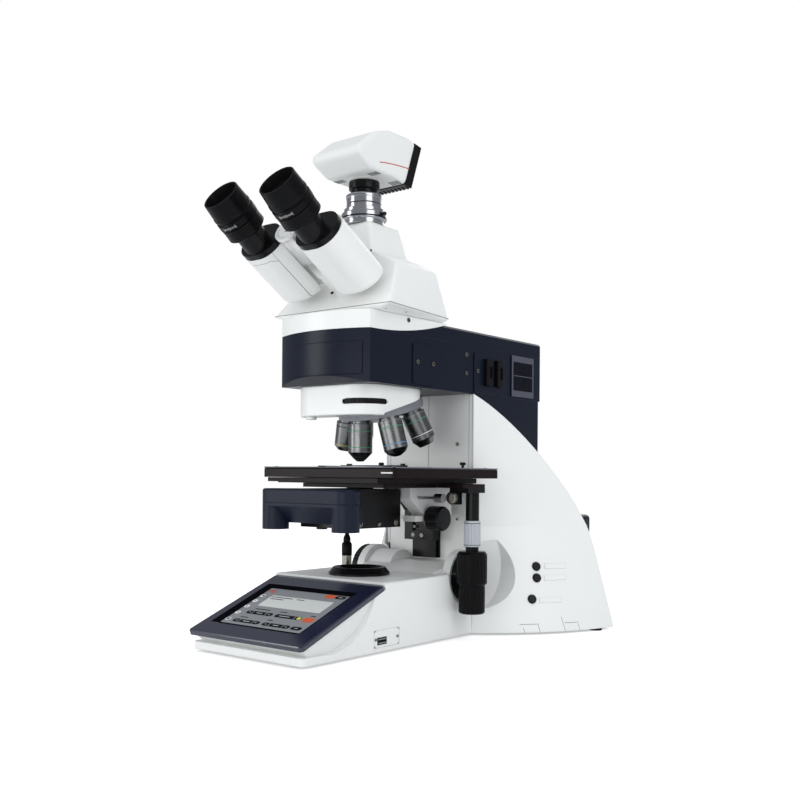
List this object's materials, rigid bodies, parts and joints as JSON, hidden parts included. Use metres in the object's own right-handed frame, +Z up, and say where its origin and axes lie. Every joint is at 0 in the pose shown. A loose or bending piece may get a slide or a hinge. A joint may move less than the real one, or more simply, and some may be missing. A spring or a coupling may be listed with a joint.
{
  "type": "automated laboratory microscope",
  "caption": "Upright motorised laboratory microscope with a tilted touch display in its foot, swept side wings, objective turret, mechanical stage, condenser, angled eyepieces and a camera.",
  "frame": {"origin": "middle of the footprint, on the bench under the rubber feet; the optical axis stands 111.5 mm in front of it", "axes": "+Z up, +X to the user's right, +Y away from the user; the eyepieces and the display face -Y"},
  "size_m": [0.334, 0.5551, 0.5235],
  "materials": {
    "white_enamel": "satin enamel",
    "navy_enamel": "fine textured enamel",
    "glossy_frame": "gloss",
    "screen": "lit display behind glass",
    "black_plastic": "satin",
    "black_rubber": "matt",
    "steel": "turned",
    "chrome": "polished",
    "nickel": "nickel plate",
    "stage_coat": "hard anodised",
    "slate_enamel": "fine textured enamel",
    "grey_aluminium": "anodised",
    "white_aluminium": "satin enamel",
    "lead_sheath": "soft sheath"
  },
  "bodies": {
    "stand": {"base_housing": "white_enamel", "console_housing": "white_enamel", "display_bezel": "glossy_frame", "touch_screen": "screen", "light_port_ring": "black_plastic", "deck_cover": "white_enamel", "stand_casting": "grey_aluminium", "column_covers": "white_enamel", "rear_housing": "navy_enamel", "side_wings": "white_enamel", "lamp_housing": "black_plastic", "feet": "black_rubber", "usb_panel": "grey_aluminium", "casing_screws": "nickel", "arm_housing": "navy_enamel", "arm_front_cover": "navy_enamel", "arm_top_cover": "navy_enamel", "arm_neck": "white_enamel", "arm_side_panels": "navy_enamel", "nosepiece_housing": "white_enamel", "head_body": "white_enamel", "photo_tube": "chrome", "camera_adapter": "black_plastic", "camera_body": "white_enamel", "camera_heat_sink": "black_plastic", "stage_rail": "steel", "condenser_plug": "nickel", "condenser_lead": "lead_sheath"},
    "focus_wheels": {"focus_wheels": "black_plastic"},
    "button_upper": {"button_upper": "black_plastic"},
    "button_middle": {"button_middle": "black_plastic"},
    "button_lower": {"button_lower": "black_plastic"},
    "filter_slider_front": {"filter_slider_front": "black_plastic"},
    "filter_slider_rear": {"filter_slider_rear": "black_plastic"},
    "prism_thumbwheel": {"prism_thumbwheel": "black_plastic"},
    "turret": {"nosepiece_turret": "black_plastic", "objectives": "chrome"},
    "tube_right": {"tube_housing_right": "white_enamel", "eyetube_right": "black_plastic"},
    "eyepiece_right": {"eyepiece_right": "black_rubber"},
    "tube_left": {"tube_housing_left": "white_enamel", "eyetube_left": "black_plastic"},
    "eyepiece_left": {"eyepiece_left": "black_rubber"},
    "ipd_dial": {"ipd_dial": "white_enamel"},
    "stage": {"stage_carriage": "grey_aluminium", "stage_base_plate": "stage_coat", "drive_housing": "steel"},
    "stage_y": {"stage_slide_plate": "stage_coat"},
    "stage_x": {"stage_top_plate": "stage_coat", "specimen_holder": "black_plastic"},
    "torque_ring": {"torque_ring": "grey_aluminium"},
    "drive_knob_y": {"drive_knob_y": "black_rubber"},
    "drive_knob_x": {"drive_knob_x": "black_rubber"},
    "stage_clamp_knob": {"stage_clamp_knob": "nickel"},
    "condenser": {"condenser_casing_upper": "slate_enamel", "condenser_casing_lower": "slate_enamel", "condenser_body": "black_plastic", "condenser_carrier": "white_aluminium"},
    "condenser_knob": {"condenser_knob": "black_plastic"},
    "centring_key": {"centring_key": "steel"}
  },
  "joints": [
    {"name": "stage_focus", "type": "slide", "parent": "stand", "child": "stage", "axis": [0, 0, 1], "range_m": [-0.02, 0], "deforming": ["condenser_lead"]},
    {"name": "focus_wheels_turn", "type": "hinge", "parent": "stand", "child": "focus_wheels", "pos_m": [0, -0.0135, 0.0625], "axis": [1, 0, 0], "range_deg": [-361, 1]},
    {"name": "stage_depth", "type": "slide", "parent": "stage", "child": "stage_y", "axis": [0, 1, 0], "range_m": [-0.05, 0]},
    {"name": "stage_width", "type": "slide", "parent": "stage_y", "child": "stage_x", "axis": [1, 0, 0], "range_m": [-0.038, 0.038]},
    {"name": "drive_knob_y_turn", "type": "hinge", "parent": "stage", "child": "drive_knob_y", "pos_m": [0.0925, -0.0405, 0.075], "axis": [0, 0, 1], "range_deg": [-601, 1]},
    {"name": "drive_knob_x_turn", "type": "hinge", "parent": "stage", "child": "drive_knob_x", "pos_m": [0.0925, -0.0405, 0.075], "axis": [0, 0, 1], "range_deg": [-457, 457]},
    {"name": "torque_ring_turn", "type": "hinge", "parent": "stage", "child": "torque_ring", "pos_m": [0.0925, -0.0405, 0.11], "axis": [0, 0, 1], "range_deg": [-60, 60]},
    {"name": "stage_clamp_turn", "type": "hinge", "parent": "stage", "child": "stage_clamp_knob", "pos_m": [0.082, -0.0625, 0.1475], "axis": [0, -1, 0], "range_deg": [0, 180]},
    {"name": "condenser_focus", "type": "slide", "parent": "stage", "child": "condenser", "axis": [0, 0, 1], "range_m": [-0.01, 0]},
    {"name": "condenser_knob_turn", "type": "hinge", "parent": "condenser", "child": "condenser_knob", "pos_m": [0.056, -0.0525, 0.125], "axis": [1, 0, 0], "range_deg": [-181, 1]},
    {"name": "centring_key_turn", "type": "hinge", "parent": "condenser", "child": "centring_key", "pos_m": [0.06, -0.0725, 0.147], "axis": [1, 0, 0], "range_deg": [-90, 90]},
    {"name": "turret_turn", "type": "hinge", "parent": "stand", "child": "turret", "pos_m": [0, -0.0775, 0.2349], "axis": [0, 0.279, -0.9603], "continuous": true},
    {"name": "prism_turn", "type": "hinge", "parent": "stand", "child": "prism_thumbwheel", "pos_m": [0.027, -0.1365, 0.2427], "axis": [0, 0, 1], "continuous": true},
    {"name": "tube_right_slide", "type": "slide", "parent": "stand", "child": "tube_right", "axis": [-1, 0, 0], "range_m": [0, 0.009]},
    {"name": "tube_left_slide", "type": "slide", "parent": "stand", "child": "tube_left", "axis": [1, 0, 0], "range_m": [0, 0.0091]},
    {"name": "ipd_dial_turn", "type": "hinge", "parent": "stand", "child": "ipd_dial", "pos_m": [0, -0.21789, 0.40376], "axis": [0, -0.8517, 0.524], "range_deg": [-1, 55]},
    {"name": "eyepiece_right_turn", "type": "hinge", "parent": "tube_right", "child": "eyepiece_right", "pos_m": [0.0375, -0.2518, 0.41724], "axis": [0, -0.7907, 0.6122], "range_deg": [0, 360]},
    {"name": "eyepiece_left_turn", "type": "hinge", "parent": "tube_left", "child": "eyepiece_left", "pos_m": [-0.0375, -0.2518, 0.41724], "axis": [0, -0.7907, 0.6122], "range_deg": [0, 360]},
    {"name": "filter_slider_front_pull", "type": "slide", "parent": "stand", "child": "filter_slider_front", "axis": [1, 0, 0], "range_m": [0, 0.012]},
    {"name": "filter_slider_rear_pull", "type": "slide", "parent": "stand", "child": "filter_slider_rear", "axis": [1, 0, 0], "range_m": [0, 0.012]},
    {"name": "button_upper_press", "type": "slide", "parent": "stand", "child": "button_upper", "axis": [-0.8086, 0.5053, -0.3015], "range_m": [0, 0.0015], "stiffness_N_per_m": 400, "springref_m": -0.0005},
    {"name": "button_middle_press", "type": "slide", "parent": "stand", "child": "button_middle", "axis": [-0.8037, 0.5134, -0.3009], "range_m": [0, 0.0015], "stiffness_N_per_m": 400, "springref_m": -0.0005},
    {"name": "button_lower_press", "type": "slide", "parent": "stand", "child": "button_lower", "axis": [-0.7816, 0.5493, -0.2956], "range_m": [0, 0.0015], "stiffness_N_per_m": 400, "springref_m": -0.0005}
  ],
  "couplings": [
    {"joint": "focus_wheels_turn", "follows": "stage_focus", "rad_per_m": 314.16},
    {"joint": "drive_knob_y_turn", "follows": "stage_depth", "rad_per_m": 209.44},
    {"joint": "drive_knob_x_turn", "follows": "stage_width", "rad_per_m": 209.44},
    {"joint": "condenser_knob_turn", "follows": "condenser_focus", "rad_per_m": 314.16},
    {"joint": "tube_left_slide", "follows": "tube_right_slide", "ratio": 1},
    {"joint": "ipd_dial_turn", "follows": "tube_right_slide", "rad_per_m": 104.72}
  ]
}
